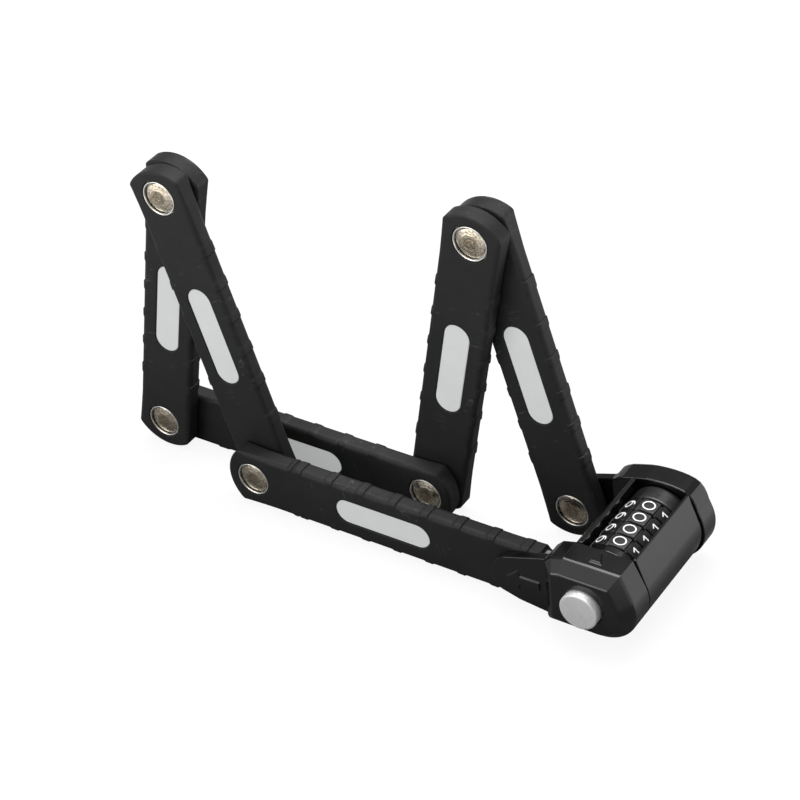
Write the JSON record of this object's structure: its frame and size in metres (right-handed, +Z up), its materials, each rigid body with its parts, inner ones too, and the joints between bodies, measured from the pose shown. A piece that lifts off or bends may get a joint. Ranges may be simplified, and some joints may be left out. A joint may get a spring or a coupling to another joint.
{
  "type": "folding link bicycle lock",
  "caption": "Folding lock with riveted rubber-sleeved steel links, a tongue link, a push-button bolt and number wheels in a gloss black body.",
  "frame": {"origin": "where the number wheels' axis meets the flat back face of the rear cap", "axes": "+X along the tongue link towards the lock body's rounded side, +Y from the button to the back face, along every rivet, +Z up"},
  "size_m": [0.2611, 0.0745, 0.1525],
  "materials": {
    "sleeve_rubber": "matt black moulded rubber with faint scuffs",
    "plate_steel": "bright rolled steel",
    "inlay_grey": "smooth light grey plastic",
    "rivet_nickel": "warm nickel plate with turning marks",
    "body_black": "gloss black enamel over die-cast zinc",
    "button_satin": "satin bright plate",
    "wheel_black": "black plastic with white numerals",
    "code_brass": "machined brass",
    "spring_steel": "spring steel"
  },
  "bodies": {
    "lock_body": {"front_cap": "body_black", "barrel_housing": "body_black", "rear_cap": "body_black", "front_dowel": "plate_steel", "rear_dowel_1": "plate_steel", "rear_dowel_2": "plate_steel", "spindle": "spring_steel", "spacer_drum": "wheel_black", "detent_strip": "spring_steel"},
    "button": {"push_button": "button_satin", "return_spring": "spring_steel"},
    "catch": {"button_catch": "plate_steel"},
    "wheel_1": {"number_wheel_1": "wheel_black", "code_sleeve_1": "code_brass"},
    "wheel_2": {"number_wheel_2": "wheel_black", "code_sleeve_2": "code_brass"},
    "wheel_3": {"number_wheel_3": "wheel_black", "code_sleeve_3": "code_brass"},
    "wheel_4": {"number_wheel_4": "wheel_black", "code_sleeve_4": "code_brass"},
    "link_f": {"link_f_plate": "plate_steel", "link_f_sleeve": "sleeve_rubber", "link_f_inlay_front": "inlay_grey", "link_f_inlay_rear": "inlay_grey", "rivet_ring_6": "rivet_nickel", "rivet_6": "rivet_nickel"},
    "link_e": {"link_e_plate": "plate_steel", "link_e_sleeve": "sleeve_rubber", "link_e_inlay_front": "inlay_grey", "link_e_inlay_rear": "inlay_grey", "rivet_ring_5": "rivet_nickel", "rivet_5": "rivet_nickel"},
    "link_d": {"link_d_plate": "plate_steel", "link_d_sleeve": "sleeve_rubber", "link_d_inlay_front": "inlay_grey", "link_d_inlay_rear": "inlay_grey", "rivet_ring_4": "rivet_nickel", "rivet_4": "rivet_nickel"},
    "link_c": {"link_c_plate": "plate_steel", "link_c_sleeve": "sleeve_rubber", "link_c_inlay_front": "inlay_grey", "link_c_inlay_rear": "inlay_grey", "rivet_ring_3": "rivet_nickel", "rivet_3": "rivet_nickel"},
    "link_b": {"link_b_plate": "plate_steel", "link_b_sleeve": "sleeve_rubber", "link_b_inlay_front": "inlay_grey", "link_b_inlay_rear": "inlay_grey", "rivet_ring_2": "rivet_nickel", "rivet_2": "rivet_nickel"},
    "rivet_1": {"rivet_1": "rivet_nickel"},
    "link_a": {"link_a_plate": "plate_steel", "link_a_sleeve": "sleeve_rubber", "link_a_inlay_front": "inlay_grey", "link_a_inlay_rear": "inlay_grey", "rivet_ring_1": "rivet_nickel"}
  },
  "joints": [
    {"name": "chain_fold", "type": "hinge", "parent": "lock_body", "child": "link_f", "pos_m": [-0.0382, -0.01405, -0.0083], "axis": [0, -1, 0], "range_deg": [0, 75.2]},
    {"name": "rivet_5_fold", "type": "hinge", "parent": "link_f", "child": "link_e", "pos_m": [-0.07141, -0.02245, 0.11739], "axis": [0, -1, 0], "range_deg": [0, 26.85]},
    {"name": "rivet_4_fold", "type": "hinge", "parent": "link_e", "child": "link_d", "pos_m": [-0.09844, -0.03085, -0.00977], "axis": [0, -1, 0], "range_deg": [-102.05, 0]},
    {"name": "rivet_3_fold", "type": "hinge", "parent": "link_d", "child": "link_c", "pos_m": [-0.22844, -0.03925, -0.00977], "axis": [0, -1, 0], "range_deg": [-78.05, 0]},
    {"name": "rivet_2_fold", "type": "hinge", "parent": "link_c", "child": "link_b", "pos_m": [-0.20141, -0.04765, 0.11739], "axis": [0, -1, 0], "range_deg": [-26.85, 0]},
    {"name": "rivet_1_fold", "type": "hinge", "parent": "link_b", "child": "rivet_1", "pos_m": [-0.1682, -0.05605, -0.0083], "axis": [0, -1, 0], "range_deg": [0, 104.85]},
    {"name": "link_a_swing", "type": "hinge", "parent": "rivet_1", "child": "link_a", "pos_m": [-0.1682, -0.05605, -0.0083], "axis": [0, -1, 0], "range_deg": [-255.2, 0]},
    {"name": "button_press", "type": "slide", "parent": "lock_body", "child": "button", "axis": [0, 1, 0], "range_m": [0, 0.0034], "stiffness_N_per_m": 600, "springref_m": -0.003, "deforming": ["return_spring"]},
    {"name": "catch_slide", "type": "slide", "parent": "lock_body", "child": "catch", "axis": [1, 0, 0], "range_m": [0, 0.0015]},
    {"name": "wheel_1_turn", "type": "hinge", "parent": "lock_body", "child": "wheel_1", "pos_m": [0, -0.0472, 0], "axis": [0, 1, 0], "continuous": true},
    {"name": "wheel_2_turn", "type": "hinge", "parent": "lock_body", "child": "wheel_2", "pos_m": [0, -0.03933, 0], "axis": [0, 1, 0], "continuous": true},
    {"name": "wheel_3_turn", "type": "hinge", "parent": "lock_body", "child": "wheel_3", "pos_m": [0, -0.03146, 0], "axis": [0, 1, 0], "continuous": true},
    {"name": "wheel_4_turn", "type": "hinge", "parent": "lock_body", "child": "wheel_4", "pos_m": [0, -0.02359, 0], "axis": [0, 1, 0], "continuous": true}
  ],
  "couplings": [
    {"joint": "rivet_5_fold", "follows": "chain_fold", "ratio": 0.35638},
    {"joint": "rivet_4_fold", "follows": "chain_fold", "ratio": -1.3564},
    {"joint": "rivet_3_fold", "follows": "chain_fold", "ratio": -1.0372},
    {"joint": "rivet_2_fold", "follows": "chain_fold", "ratio": -0.35638},
    {"joint": "rivet_1_fold", "follows": "chain_fold", "ratio": 1.3936}
  ]
}
